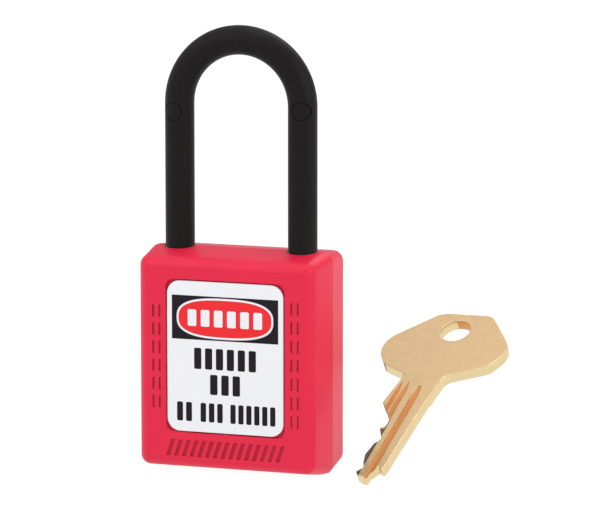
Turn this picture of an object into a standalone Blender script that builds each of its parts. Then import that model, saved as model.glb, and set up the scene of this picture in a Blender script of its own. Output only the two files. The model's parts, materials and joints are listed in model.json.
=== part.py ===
"""Safety lockout padlock with a moulded body, a long plastic shackle and its key.

Metres, +Z up. The front of the lock faces -Y. The origin is on the flat land of the lock's
bottom, midway between the shackle's legs and in the plane that holds them both.
Every separate piece of the lock is its own object, and touching pieces keep a small gap.
"""

import math

import bmesh
import bpy
from mathutils import Matrix, Vector

MM = 0.001
GAP = 0.3 * MM

# Moulded body: widest at the parting plane, y = 0, from which both halves taper.
BODY_WIDTH = 38.0 * MM
BODY_HEIGHT = 44.0 * MM
BODY_DEPTH = 19.5 * MM
SIDE_DRAFT = 0.8 * MM
FRONT_TOP_DRAFT = 1.0 * MM
BACK_TOP_DRAFT = 1.1 * MM
FRONT_BOTTOM_DRAFT = 1.1 * MM
BACK_BOTTOM_DRAFT = 0.45 * MM
BOTTOM_RIDGE = 0.5 * MM  # the tapered bottom would reach this far below z = 0, and is cut flat there
CORNER_RADIUS = 2.2 * MM
FRONT_EDGE_RADIUS = 1.9 * MM
BACK_EDGE_RADIUS = 1.3 * MM

# Labels, each a plate in a shallow recess of the front or the back.
LABEL_WIDTH = 24.0 * MM
LABEL_HEIGHT = 29.9 * MM
LABEL_CENTRE_Z = 23.5 * MM
LABEL_THICKNESS = 0.5 * MM
LABEL_SET_BACK = 0.05 * MM
LABEL_CORNER = 2.6 * MM
RECESS_CORNER = 1.6 * MM

# Shackle: a round bar, one arch on two legs.
BAR_RADIUS = 2.9 * MM
LEG_X = 12.75 * MM
SHACKLE_TOP = 85.0 * MM  # centre line of the bar at the top of the arch
TOE_END = 32.2 * MM
HEEL_END = 12.0 * MM
LEG_BORE_RADIUS = 3.15 * MM
HEEL_BORE_FLOOR = 3.0 * MM
LIFT = 13.5 * MM
NOTCH_DEPTH = 1.5 * MM
NOTCH_HALF_WIDTH = 4.0 * MM  # wider than the bar, so that the notch is a flat
NOTCH_CLEARANCE = 0.4 * MM  # above the bolt, and above and below the tongue's way
NOTCH_BELOW_BOLT = 4.9 * MM
HEEL_SPRING_RADIUS = 2.2 * MM
HEEL_SPRING_WIRE = 0.35 * MM
HEEL_SPRING_Z = (3.8 * MM, 11.2 * MM)

# Cavities of the body, open at the bottom: the cylinder's pocket and, above it, the bolt's.
POCKET_LEFT = -13.7 * MM
POCKET_RIGHT = 8.9 * MM
POCKET_HALF_DEPTH = 6.7 * MM
POCKET_TOP = 31.5 * MM
BOLT_POCKET_LEFT = -9.1 * MM
BOLT_POCKET_TOP = 41.5 * MM
CAVITY_START = -1.0 * MM  # cutters start below the bottom

# Lock cylinder.
PLUG_X = -7.0 * MM
PLUG_RADIUS = 5.6 * MM
BORE_RADIUS = 5.7 * MM
PLUG_FACE = 0.8 * MM
PLUG_TOP = 27.0 * MM
HOUSING_RADIUS = 6.4 * MM
HOUSING_BOTTOM = 2.6 * MM
HOUSING_TOP = 27.4 * MM
CHAMBER_BLOCK_RIGHT = 7.8 * MM
CHAMBER_BLOCK_HALF_DEPTH = 3.2 * MM
ROUND_SEGMENTS = 48
KEYWAY_TOP_X = -4.3 * MM
KEYWAY_HALF_WIDTH = 1.25 * MM
KEYWAY_END = 26.3 * MM

# Pin stacks, one chamber each, with their pins meeting at the shear line.
PIN_COUNT = 6
FIRST_PIN_Z = 6.6 * MM
PIN_PITCH = 3.4 * MM
CHAMBER_RADIUS = 1.35 * MM
KEY_PIN_RADIUS = 1.05 * MM
KEY_PIN_POINT = 0.6 * MM
KEY_PIN_OUTER_X = -1.55 * MM
KEY_PIN_TIPS_X = [x * MM for x in (-6.9, -6.4, -7.3, -6.2, -6.9, -6.6)]
DRIVER_PIN_RADIUS = 1.1 * MM
DRIVER_PIN_CHAMFER = 0.2 * MM
DRIVER_PIN_X = (-1.1 * MM, 1.9 * MM)
PIN_SEGMENTS = 16
PIN_SPRING_X = (2.4 * MM, 7.4 * MM)
PIN_SPRING_RADIUS = 0.8 * MM
PIN_SPRING_WIRE = 0.16 * MM

# Drive from the plug to the bolt, above the clip that holds the plug in its housing.
CLIP_RADIUS = 6.2 * MM
DRIVE_HALF_SIDE = 2.2 * MM
DRIVE_TOP = 30.1 * MM
CAM_RADIUS = 4.6 * MM
CAM_BOTTOM = 28.6 * MM
CAM_TOP = 31.2 * MM
CAM_PIN_OFFSET = 2.2 * MM
CAM_PIN_ANGLE = math.radians(-120.0)
CAM_PIN_RADIUS = 0.7 * MM
CAM_PIN_TOP = 40.9 * MM

# Locking bolt, which the cam pin draws out of the toe's notch.
BOLT_BOTTOM = 38.6 * MM
BOLT_TOP = 41.1 * MM
BOLT_TIP_X = -11.0 * MM
BOLT_PLATE_X = (-9.65 * MM, 3.0 * MM)
BOLT_PLATE_Y = (-3.9 * MM, 2.0 * MM)
BOLT_NOSE_HALF_WIDTH = 1.6 * MM
BOLT_SLOT_HALF_WIDTH = 1.0 * MM
BOLT_SLOT_Y = (-3.2 * MM, -0.1 * MM)

# Guide under the bolt and, beside it, the retainer whose tongue keeps the heel in the body.
GUIDE_Z = (31.8 * MM, 38.2 * MM)
GUIDE_RIGHT = 6.6 * MM
PIN_WAY_RIGHT = -4.1 * MM
RETAINER_HALF_DEPTH = 3.0 * MM
TONGUE_Z = (36.0 * MM, 38.0 * MM)
TONGUE_TIP_X = 11.0 * MM
TONGUE_HALF_WIDTH = 1.6 * MM

# Bottom cover and its screw.
COVER_TOP = 2.2 * MM
COVER_HOLE_RADIUS = 5.9 * MM
SCREW_X = 4.5 * MM
SCREW_HEAD_RADIUS = 1.65 * MM
SCREW_HEAD_Z = (0.2 * MM, 0.9 * MM)
SCREW_SHAFT_RADIUS = 0.9 * MM
SCREW_END = 4.5 * MM
SCREW_SLOT_HALF_WIDTH = 0.2 * MM
SCREW_SLOT_TOP = 0.5 * MM

# Key, drawn flat with the tip at its own origin and the bow along +Y, then stood where it lies.
KEY_THICKNESS = 2.2 * MM
KEY_TIP_PLACE = Vector((29.0, -12.4, 1.85)) * MM
KEY_PITCH = math.radians(31.0)
KEY_TURN = math.radians(-9.0)
KEY_HOLE_PLACE = Vector((1.35, 45.1)) * MM
KEY_HOLE_RADIUS = 3.05 * MM
GROOVE_DEPTH = 0.5 * MM
LONG_GROOVE = ((0.1 * MM, 1.3 * MM), (-2.0 * MM, 27.5 * MM))
SHORT_GROOVE = ((-3.9 * MM, -1.5 * MM), (19.0 * MM, 28.5 * MM))


def clear_scene():
    for existing in list(bpy.data.objects):
        bpy.data.objects.remove(existing, do_unlink=True)


def new_collection(name, shown=True):
    collection = bpy.data.collections.new(name)
    bpy.context.scene.collection.children.link(collection)
    collection.hide_render = not shown
    return collection


def new_material(name, colour, roughness, metallic=0.0):
    material = bpy.data.materials.new(name)
    material.use_nodes = True
    shader = material.node_tree.nodes["Principled BSDF"]
    shader.inputs["Base Color"].default_value = (*colour, 1.0)
    shader.inputs["Roughness"].default_value = roughness
    shader.inputs["Metallic"].default_value = metallic
    return material


def object_from(name, shape, collection, material=None):
    mesh = bpy.data.meshes.new(name)
    bmesh.ops.recalc_face_normals(shape, faces=shape.faces)
    shape.to_mesh(mesh)
    shape.free()
    made = bpy.data.objects.new(name, mesh)
    collection.objects.link(made)
    if material:
        mesh.materials.append(material)
    return made


def shade_round(made, angle=math.radians(40)):
    made.data.shade_smooth()
    made.data.set_sharp_from_angle(angle=angle)


def block(name, low, high, collection, material=None, rounding=0.0, around=None):
    """A box from corner to corner. Its edges along the axis `around` can be rounded."""
    low, high = Vector(low), Vector(high)
    size = high - low
    shape = bmesh.new()
    bmesh.ops.create_cube(shape, size=1.0, matrix=Matrix.Diagonal((*size, 1.0)))
    if rounding:
        along = [e for e in shape.edges if abs((e.verts[0].co - e.verts[1].co)[around]) > GAP]
        bmesh.ops.bevel(
            shape, geom=along, offset=rounding, segments=5, profile=0.5, affect="EDGES"
        )
    made = object_from(name, shape, collection, material)
    made.location = (low + high) / 2
    return made


def rod(name, axis, centre, radius, span, collection, material=None, segments=16, chamfers=()):
    """A cylinder along X or Z. `centre` gives its other two coordinates, and `span` its ends.
    `chamfers` holds (end, size) pairs, where end is 0 at the low end and 1 at the high end."""
    length = span[1] - span[0]
    shape = bmesh.new()
    bmesh.ops.create_cone(
        shape,
        cap_ends=True,
        segments=segments,
        radius1=radius,
        radius2=radius,
        depth=length,
    )
    for end, size in chamfers:
        height = length * (end - 0.5)
        rim = [e for e in shape.edges if all(abs(v.co.z - height) < MM / 100 for v in e.verts)]
        bmesh.ops.bevel(shape, geom=rim, offset=size, segments=1, affect="EDGES")
    middle = (span[0] + span[1]) / 2
    if axis == "X":
        bmesh.ops.rotate(shape, verts=shape.verts, matrix=Matrix.Rotation(math.pi / 2, 3, "Y"))
        place = (middle, *centre)
    else:
        place = (*centre, middle)
    made = object_from(name, shape, collection, material)
    made.location = place
    shade_round(made)
    return made


def combine(made, others, operation):
    for other in others:
        other.hide_render = True
        other.display_type = "WIRE"
        step = made.modifiers.new(other.name, "BOOLEAN")
        step.operation = operation
        step.object = other


def hold_in_place(empty, pieces):
    """Parents the pieces to an empty on their joint's axis, and leaves them where they are."""
    for piece in pieces:
        piece.parent = empty
        piece.location -= empty.location


def mesh_from_curve(curve_object, name, collection, material):
    """A curve object as a closed mesh object, so that it can be cut."""
    graph = bpy.context.evaluated_depsgraph_get()
    mesh = bpy.data.meshes.new_from_object(curve_object.evaluated_get(graph))
    shape = bmesh.new()
    shape.from_mesh(mesh)
    bmesh.ops.remove_doubles(shape, verts=shape.verts, dist=MM / 1000)
    made = object_from(name, shape, collection, material)
    made.matrix_world = curve_object.matrix_world
    bpy.data.objects.remove(curve_object, do_unlink=True)
    bpy.data.meshes.remove(mesh)
    return made


def wire(name, points, radius, sides, collection, material=None):
    """A round wire through the points. A bevel of resolution n has 2 n + 4 sides."""
    curve = bpy.data.curves.new(name, "CURVE")
    curve.dimensions = "3D"
    curve.bevel_depth = radius
    curve.bevel_resolution = (sides - 4) // 2
    curve.use_fill_caps = True
    spline = curve.splines.new("POLY")
    spline.points.add(len(points) - 1)
    for point, place in zip(spline.points, points):
        point.co = (*place, 1.0)
    made = bpy.data.objects.new(name, curve)
    collection.objects.link(made)
    if material:
        curve.materials.append(material)
    return made


def coil_points(axis, centre, radius, span, turns, per_turn):
    points = []
    for step in range(turns * per_turn + 1):
        turn = 2 * math.pi * step / per_turn
        along = span[0] + (span[1] - span[0]) * step / (turns * per_turn)
        round_about = (radius * math.cos(turn), radius * math.sin(turn))
        if axis == "X":
            points.append((along, centre[0] + round_about[0], centre[1] + round_about[1]))
        else:
            points.append((centre[0] + round_about[0], centre[1] + round_about[1], along))
    return points


def everything(shape):
    return shape.verts[:] + shape.edges[:] + shape.faces[:]


def body_outline(name, collection, material=None):
    """The body's outer form: a rounded block in two halves that taper away from y = 0."""
    half_depth = BODY_DEPTH / 2
    size = Vector((BODY_WIDTH, BODY_DEPTH, BODY_HEIGHT))
    shape = bmesh.new()
    bmesh.ops.create_cube(shape, size=1.0, matrix=Matrix.Diagonal((*size, 1.0)))
    bmesh.ops.translate(shape, verts=shape.verts, vec=(0, 0, BODY_HEIGHT / 2))
    corners = [e for e in shape.edges if abs(e.verts[0].co.y - e.verts[1].co.y) > half_depth]
    bmesh.ops.bevel(
        shape, geom=corners, offset=CORNER_RADIUS, segments=6, profile=0.5, affect="EDGES"
    )
    bmesh.ops.bisect_plane(shape, geom=everything(shape), plane_no=(0, 1, 0))
    for vert in shape.verts:
        if vert.co.y < -half_depth / 2:
            low, high, side = FRONT_BOTTOM_DRAFT, FRONT_TOP_DRAFT, SIDE_DRAFT
        elif vert.co.y > half_depth / 2:
            low, high, side = BACK_BOTTOM_DRAFT, BACK_TOP_DRAFT, SIDE_DRAFT
        else:
            low, high, side = -BOTTOM_RIDGE, 0.0, 0.0
        vert.co.x *= 1 - 2 * side / BODY_WIDTH
        vert.co.z = low + vert.co.z * (BODY_HEIGHT - low - high) / BODY_HEIGHT
    for side, radius in ((-1, FRONT_EDGE_RADIUS), (1, BACK_EDGE_RADIUS)):
        rim = [e for e in shape.edges if all(side * v.co.y > half_depth * 0.99 for v in e.verts)]
        bmesh.ops.bevel(shape, geom=rim, offset=radius, segments=4, profile=0.5, affect="EDGES")
    cut = bmesh.ops.bisect_plane(
        shape, geom=everything(shape), plane_no=(0, 0, 1), clear_inner=True
    )
    rim = [e for e in cut["geom_cut"] if isinstance(e, bmesh.types.BMEdge)]
    bmesh.ops.contextual_create(shape, geom=rim)
    return object_from(name, shape, collection, material)


def label_recess(name, side, cutters):
    """A cutter for the recess of a label. side is -1 at the front and 1 at the back."""
    floor = BODY_DEPTH / 2 - LABEL_SET_BACK - LABEL_THICKNESS - GAP
    outside = BODY_DEPTH / 2 + MM
    half_width = LABEL_WIDTH / 2 + GAP
    half_height = LABEL_HEIGHT / 2 + GAP
    near, far = sorted((side * floor, side * outside))
    return block(
        name,
        (-half_width, near, LABEL_CENTRE_Z - half_height),
        (half_width, far, LABEL_CENTRE_Z + half_height),
        cutters,
        rounding=RECESS_CORNER,
        around=1,
    )


def label(name, side, parts, material):
    outer = BODY_DEPTH / 2 - LABEL_SET_BACK
    near, far = sorted((side * outer, side * (outer - LABEL_THICKNESS)))
    return block(
        name,
        (-LABEL_WIDTH / 2, near, LABEL_CENTRE_Z - LABEL_HEIGHT / 2),
        (LABEL_WIDTH / 2, far, LABEL_CENTRE_Z + LABEL_HEIGHT / 2),
        parts,
        material,
        rounding=LABEL_CORNER,
        around=1,
    )


def body_shell(parts, cutters, material):
    shell = body_outline("body_shell", parts, material)
    half = POCKET_HALF_DEPTH
    above = BODY_HEIGHT + MM
    tongue_low, tongue_high = TONGUE_Z
    window_half = TONGUE_HALF_WIDTH + GAP
    hollows = [
        block(
            "cut_cylinder_pocket",
            (POCKET_LEFT, -half, CAVITY_START),
            (POCKET_RIGHT, half, POCKET_TOP),
            cutters,
        ),
        block(
            "cut_bolt_pocket",
            (BOLT_POCKET_LEFT, -half, POCKET_TOP - MM),
            (POCKET_RIGHT, half, BOLT_POCKET_TOP),
            cutters,
        ),
        rod(
            "cut_toe_bore",
            "Z",
            (-LEG_X, 0),
            LEG_BORE_RADIUS,
            (POCKET_TOP - MM, above),
            cutters,
            segments=32,
        ),
        rod(
            "cut_heel_bore",
            "Z",
            (LEG_X, 0),
            LEG_BORE_RADIUS,
            (HEEL_BORE_FLOOR, above),
            cutters,
            segments=32,
        ),
        block(
            "cut_bolt_window",
            (-LEG_X, BOLT_PLATE_Y[0] - GAP, BOLT_BOTTOM - GAP),
            (BOLT_POCKET_LEFT + MM, BOLT_PLATE_Y[1] + GAP, BOLT_POCKET_TOP),
            cutters,
        ),
        block(
            "cut_tongue_window",
            (POCKET_RIGHT - MM, -window_half, tongue_low - GAP),
            (LEG_X, window_half, tongue_high + GAP),
            cutters,
        ),
        label_recess("cut_front_recess", -1, cutters),
        label_recess("cut_rear_recess", 1, cutters),
    ]
    combine(shell, hollows, "DIFFERENCE")


def bottom_cover(parts, cutters, material):
    cover = block(
        "bottom_cover",
        (POCKET_LEFT + GAP, -POCKET_HALF_DEPTH + GAP, CAVITY_START),
        (POCKET_RIGHT - GAP, POCKET_HALF_DEPTH - GAP, COVER_TOP),
        parts,
        material,
    )
    combine(cover, [body_outline("trim_cover", cutters)], "INTERSECT")
    holes = [
        rod(
            "cut_plug_opening",
            "Z",
            (PLUG_X, 0),
            COVER_HOLE_RADIUS,
            (CAVITY_START, COVER_TOP + MM),
            cutters,
            segments=ROUND_SEGMENTS,
        ),
        rod(
            "cut_screw_seat",
            "Z",
            (SCREW_X, 0),
            SCREW_HEAD_RADIUS + GAP,
            (CAVITY_START, SCREW_HEAD_Z[1] + GAP),
            cutters,
        ),
        rod(
            "cut_screw_hole",
            "Z",
            (SCREW_X, 0),
            SCREW_SHAFT_RADIUS + GAP,
            (SCREW_HEAD_Z[1], COVER_TOP + MM),
            cutters,
        ),
    ]
    combine(cover, holes, "DIFFERENCE")


def cover_screw(parts, cutters, material):
    place = (SCREW_X, 0)
    head = rod("cover_screw", "Z", place, SCREW_HEAD_RADIUS, SCREW_HEAD_Z, parts, material)
    shaft_span = (SCREW_HEAD_Z[1] - GAP, SCREW_END)
    shaft = rod("join_screw_shaft", "Z", place, SCREW_SHAFT_RADIUS, shaft_span, cutters)
    combine(head, [shaft], "UNION")
    slot = block(
        "cut_screw_slot",
        (SCREW_X - SCREW_HEAD_RADIUS - GAP, -SCREW_SLOT_HALF_WIDTH, CAVITY_START),
        (SCREW_X + SCREW_HEAD_RADIUS + GAP, SCREW_SLOT_HALF_WIDTH, SCREW_SLOT_TOP),
        cutters,
    )
    combine(head, [slot], "DIFFERENCE")


def pin_heights():
    return [FIRST_PIN_Z + number * PIN_PITCH for number in range(PIN_COUNT)]


def cylinder_housing(parts, cutters, material):
    housing = rod(
        "cylinder_housing",
        "Z",
        (PLUG_X, 0),
        HOUSING_RADIUS,
        (HOUSING_BOTTOM, HOUSING_TOP),
        parts,
        material,
        segments=ROUND_SEGMENTS,
    )
    chamber_block = block(
        "join_chamber_block",
        (PLUG_X, -CHAMBER_BLOCK_HALF_DEPTH, HOUSING_BOTTOM),
        (CHAMBER_BLOCK_RIGHT, CHAMBER_BLOCK_HALF_DEPTH, HOUSING_TOP),
        cutters,
    )
    combine(housing, [chamber_block], "UNION")
    holes = [
        rod(
            "cut_plug_bore",
            "Z",
            (PLUG_X, 0),
            BORE_RADIUS,
            (HOUSING_BOTTOM - MM, HOUSING_TOP + MM),
            cutters,
            segments=ROUND_SEGMENTS,
        ),
        rod(
            "cut_housing_screw_hole",
            "Z",
            (SCREW_X, 0),
            SCREW_SHAFT_RADIUS + GAP,
            (HOUSING_BOTTOM - MM, SCREW_END + GAP),
            cutters,
        ),
    ]
    for number, height in enumerate(pin_heights(), start=1):
        name = f"cut_housing_chamber_{number}"
        span = (PLUG_X, CHAMBER_BLOCK_RIGHT + MM)
        holes.append(rod(name, "X", (0, height), CHAMBER_RADIUS, span, cutters))
    combine(housing, holes, "DIFFERENCE")
    block(
        "spring_cover",
        (CHAMBER_BLOCK_RIGHT + GAP, -CHAMBER_BLOCK_HALF_DEPTH, HOUSING_BOTTOM),
        (POCKET_RIGHT - GAP, CHAMBER_BLOCK_HALF_DEPTH, HOUSING_TOP),
        parts,
        material,
    )


def cylinder_plug(parts, cutters, material):
    plug = rod(
        "cylinder_plug",
        "Z",
        (PLUG_X, 0),
        PLUG_RADIUS,
        (PLUG_FACE, PLUG_TOP),
        parts,
        material,
        segments=ROUND_SEGMENTS,
    )
    drive = block(
        "join_plug_drive",
        (PLUG_X - DRIVE_HALF_SIDE, -DRIVE_HALF_SIDE, PLUG_TOP - GAP),
        (PLUG_X + DRIVE_HALF_SIDE, DRIVE_HALF_SIDE, DRIVE_TOP),
        cutters,
    )
    combine(plug, [drive], "UNION")
    holes = [
        block(
            "cut_keyway",
            (PLUG_X - PLUG_RADIUS - MM, -KEYWAY_HALF_WIDTH, CAVITY_START),
            (KEYWAY_TOP_X, KEYWAY_HALF_WIDTH, KEYWAY_END),
            cutters,
        )
    ]
    for number, height in enumerate(pin_heights(), start=1):
        name = f"cut_plug_chamber_{number}"
        span = (KEYWAY_TOP_X - MM, 0.0)
        holes.append(rod(name, "X", (0, height), CHAMBER_RADIUS, span, cutters))
    combine(plug, holes, "DIFFERENCE")
    return plug


def pin_stacks(parts, brass, steel):
    """The key pins, driver pins and springs. Returns the key pins, which turn with the plug."""
    key_pins = []
    for number, height in enumerate(pin_heights(), start=1):
        tip = KEY_PIN_TIPS_X[number - 1]
        key_pins.append(
            rod(
                f"key_pin_{number}",
                "X",
                (0, height),
                KEY_PIN_RADIUS,
                (tip, KEY_PIN_OUTER_X),
                parts,
                brass,
                segments=PIN_SEGMENTS,
                chamfers=[(0, KEY_PIN_POINT)],
            )
        )
        rod(
            f"driver_pin_{number}",
            "X",
            (0, height),
            DRIVER_PIN_RADIUS,
            DRIVER_PIN_X,
            parts,
            steel,
            segments=PIN_SEGMENTS,
            chamfers=[(0, DRIVER_PIN_CHAMFER), (1, DRIVER_PIN_CHAMFER)],
        )
        coil = coil_points(
            "X", (0, height), PIN_SPRING_RADIUS, PIN_SPRING_X, turns=4, per_turn=7
        )
        wire(f"pin_spring_{number}", coil, PIN_SPRING_WIRE, 6, parts, steel)
    return key_pins


def plug_clip(parts, cutters, material):
    clip = rod(
        "plug_clip",
        "Z",
        (PLUG_X, 0),
        CLIP_RADIUS,
        (HOUSING_TOP + GAP, CAM_BOTTOM - GAP),
        parts,
        material,
        segments=32,
    )
    hole_half = DRIVE_HALF_SIDE + GAP
    hole = block(
        "cut_clip_hole",
        (PLUG_X - hole_half, -hole_half, HOUSING_TOP),
        (PLUG_X + hole_half, hole_half, CAM_BOTTOM),
        cutters,
    )
    combine(clip, [hole], "DIFFERENCE")
    return clip


def drive_cam(parts, cutters, material):
    cam = rod(
        "drive_cam",
        "Z",
        (PLUG_X, 0),
        CAM_RADIUS,
        (CAM_BOTTOM, CAM_TOP),
        parts,
        material,
        segments=32,
    )
    pin_place = (
        PLUG_X + CAM_PIN_OFFSET * math.cos(CAM_PIN_ANGLE),
        CAM_PIN_OFFSET * math.sin(CAM_PIN_ANGLE),
    )
    pin = rod(
        "join_cam_pin",
        "Z",
        pin_place,
        CAM_PIN_RADIUS,
        (CAM_TOP - GAP, CAM_PIN_TOP),
        cutters,
    )
    combine(cam, [pin], "UNION")
    socket_half = DRIVE_HALF_SIDE + GAP
    socket = block(
        "cut_cam_socket",
        (PLUG_X - socket_half, -socket_half, CAM_BOTTOM - MM),
        (PLUG_X + socket_half, socket_half, DRIVE_TOP + GAP),
        cutters,
    )
    combine(cam, [socket], "DIFFERENCE")
    return cam


def locking_bolt(parts, cutters, material):
    bolt = block(
        "locking_bolt",
        (BOLT_PLATE_X[0], BOLT_PLATE_Y[0], BOLT_BOTTOM),
        (BOLT_PLATE_X[1], BOLT_PLATE_Y[1], BOLT_TOP),
        parts,
        material,
    )
    nose = block(
        "join_bolt_nose",
        (BOLT_TIP_X, -BOLT_NOSE_HALF_WIDTH, BOLT_BOTTOM),
        (BOLT_PLATE_X[0] + GAP, BOLT_NOSE_HALF_WIDTH, BOLT_TOP),
        cutters,
    )
    combine(bolt, [nose], "UNION")
    slot_x = PLUG_X + CAM_PIN_OFFSET * math.cos(CAM_PIN_ANGLE)
    slot = block(
        "cut_bolt_slot",
        (slot_x - BOLT_SLOT_HALF_WIDTH, BOLT_SLOT_Y[0], BOLT_BOTTOM - MM),
        (slot_x + BOLT_SLOT_HALF_WIDTH, BOLT_SLOT_Y[1], BOLT_TOP + MM),
        cutters,
    )
    combine(bolt, [slot], "DIFFERENCE")


def bolt_guide(parts, cutters, material):
    """The block under the bolt, with a way through for the cam pin."""
    guide = block(
        "bolt_guide",
        (BOLT_POCKET_LEFT + GAP, -POCKET_HALF_DEPTH + GAP, GUIDE_Z[0]),
        (GUIDE_RIGHT, POCKET_HALF_DEPTH - GAP, GUIDE_Z[1]),
        parts,
        material,
    )
    way = block(
        "cut_pin_way",
        (BOLT_POCKET_LEFT - MM, BOLT_SLOT_Y[0], GUIDE_Z[0] - MM),
        (PIN_WAY_RIGHT, BOLT_SLOT_Y[1], GUIDE_Z[1] + MM),
        cutters,
    )
    combine(guide, [way], "DIFFERENCE")


def heel_retainer(parts, cutters, material):
    foot = block(
        "heel_retainer",
        (GUIDE_RIGHT + GAP, -RETAINER_HALF_DEPTH, GUIDE_Z[0]),
        (POCKET_RIGHT - GAP, RETAINER_HALF_DEPTH, GUIDE_Z[1]),
        parts,
        material,
    )
    tongue = block(
        "join_tongue",
        (POCKET_RIGHT - MM, -TONGUE_HALF_WIDTH, TONGUE_Z[0]),
        (TONGUE_TIP_X, TONGUE_HALF_WIDTH, TONGUE_Z[1]),
        cutters,
    )
    combine(foot, [tongue], "UNION")


def shackle(parts, cutters, material):
    arch_steps = 24
    arch_centre = SHACKLE_TOP - LEG_X
    route = [(-LEG_X, 0.0, TOE_END)]
    for step in range(arch_steps + 1):
        turn = math.pi * (1 - step / arch_steps)
        route.append((LEG_X * math.cos(turn), 0.0, arch_centre + LEG_X * math.sin(turn)))
    route.append((LEG_X, 0.0, HEEL_END))
    bar = wire("shackle_route", route, BAR_RADIUS, 24, parts, material)
    made = mesh_from_curve(bar, "shackle", parts, material)
    shade_round(made)
    flat = LEG_X - BAR_RADIUS + NOTCH_DEPTH
    toe_notch = block(
        "cut_toe_notch",
        (-flat, -NOTCH_HALF_WIDTH, BOLT_BOTTOM - NOTCH_BELOW_BOLT),
        (-LEG_X + 2 * BAR_RADIUS, NOTCH_HALF_WIDTH, BOLT_TOP + NOTCH_CLEARANCE),
        cutters,
    )
    heel_groove = block(
        "cut_heel_groove",
        (LEG_X - 2 * BAR_RADIUS, -NOTCH_HALF_WIDTH, TONGUE_Z[0] - LIFT - NOTCH_CLEARANCE),
        (flat, NOTCH_HALF_WIDTH, TONGUE_Z[1] + NOTCH_CLEARANCE),
        cutters,
    )
    combine(made, [toe_notch, heel_groove], "DIFFERENCE")


def shackle_spring(parts, material):
    coil = coil_points(
        "Z", (LEG_X, 0), HEEL_SPRING_RADIUS, HEEL_SPRING_Z, turns=5, per_turn=10
    )
    wire("shackle_spring", coil, HEEL_SPRING_WIRE, 8, parts, material)


def rounded(corners, radii, steps=5):
    """A closed outline with each corner replaced by an arc of its radius, in steps."""
    outline = []
    count = len(corners)
    for index, (corner, radius) in enumerate(zip(corners, radii)):
        corner = Vector(corner)
        before = (Vector(corners[index - 1]) - corner).normalized()
        after = (Vector(corners[(index + 1) % count]) - corner).normalized()
        half_angle = before.angle(after) / 2
        if radius == 0:
            outline.append(corner)
            continue
        reach = radius / math.tan(half_angle)
        centre = corner + (before + after).normalized() * radius / math.sin(half_angle)
        start = corner + before * reach - centre
        end = corner + after * reach - centre
        sweep = math.atan2(start.x * end.y - start.y * end.x, start.dot(end))
        for step in range(steps + 1):
            turn = sweep * step / steps
            outline.append(centre + Matrix.Rotation(turn, 2) @ start)
    return outline


def key_outline():
    """The key's outline in millimetres, tip down: bow, neck, straight back, stepped tip, cuts."""
    bow_and_back = [
        ((-3.6, 50.05), 4.0),
        ((7.55, 50.45), 2.5),
        ((15.1, 41.3), 5.0),
        ((12.3, 35.5), 3.0),
        ((4.4, 31.65), 2.5),
        ((4.0, 26.2), 0),
        ((3.9, 25.2), 0),
        ((3.65, 24.3), 0),
        ((2.9, 3.3), 0.4),
        ((1.6, 4.5), 0.5),
        ((0.5, 2.5), 0.6),
        ((0.4, 0.9), 0.4),
        ((-0.6, 0.9), 0.5),
        ((-1.7, 1.5), 0.3),
    ]
    cuts = [
        ((-2.4, 2.4), 0.3),
        ((-1.35, 3.8), 0.4),
        ((-2.0, 5.2), 0.3),
        ((-2.6, 7.4), 0.3),
        ((-2.1, 10.8), 0.3),
        ((-0.95, 12.1), 0.4),
        ((-1.65, 13.2), 0.3),
        ((-2.7, 15.1), 0.2),
        ((-1.75, 16.4), 0.4),
        ((-1.75, 17.8), 0.4),
        ((-2.6, 18.9), 0.3),
    ]
    neck_and_bow = [
        ((-3.1, 19.9), 0.3),
        ((-5.2, 22.4), 0.6),
        ((-4.0, 31.2), 1.0),
        ((-9.6, 33.3), 3.0),
        ((-13.7, 39.4), 5.5),
    ]
    points = bow_and_back + cuts + neck_and_bow
    corners = [corner for corner, _ in points]
    radii = [radius for _, radius in points]
    return [point * MM for point in rounded(corners, radii, steps=3)]


def key(parts, cutters, material):
    """The key, made flat in its own frame and then turned and tilted to where it lies."""
    outline = key_outline()
    curve = bpy.data.curves.new("key_outline", "CURVE")
    curve.dimensions = "2D"
    curve.fill_mode = "BOTH"
    curve.extrude = KEY_THICKNESS / 2
    spline = curve.splines.new("POLY")
    spline.points.add(len(outline) - 1)
    for point, place in zip(spline.points, outline):
        point.co = (*place, 0.0, 1.0)
    spline.use_cyclic_u = True
    drawn = bpy.data.objects.new("key_outline", curve)
    parts.objects.link(drawn)
    made = mesh_from_curve(drawn, "key", parts, material)
    middle = -KEY_THICKNESS / 2
    made.data.transform(Matrix.Translation((0, 0, middle)))
    hole_span = (-2 * KEY_THICKNESS, KEY_THICKNESS)
    hole = rod(
        "cut_key_hole", "Z", KEY_HOLE_PLACE, KEY_HOLE_RADIUS, hole_span, cutters, segments=32
    )
    long_groove = block(
        "cut_long_groove",
        (LONG_GROOVE[0][0], LONG_GROOVE[1][0], -GROOVE_DEPTH),
        (LONG_GROOVE[0][1], LONG_GROOVE[1][1], KEY_THICKNESS),
        cutters,
    )
    short_groove = block(
        "cut_short_groove",
        (SHORT_GROOVE[0][0], SHORT_GROOVE[1][0], -GROOVE_DEPTH),
        (SHORT_GROOVE[0][1], SHORT_GROOVE[1][1], KEY_THICKNESS),
        cutters,
    )
    combine(made, [hole, long_groove, short_groove], "DIFFERENCE")
    stand = Matrix.Translation(KEY_TIP_PLACE)
    turn = Matrix.Rotation(KEY_TURN, 4, "Z") @ Matrix.Rotation(KEY_PITCH, 4, "X")
    made.matrix_world = stand @ turn
    for cutter in (hole, long_groove, short_groove):
        cutter.matrix_world = stand @ turn @ Matrix.Translation(cutter.location)


def new_axis(name, place):
    axis = bpy.data.objects.new(name, None)
    axis.empty_display_size = 10 * MM
    axis.location = place
    bpy.context.scene.collection.objects.link(axis)
    return axis


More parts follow.
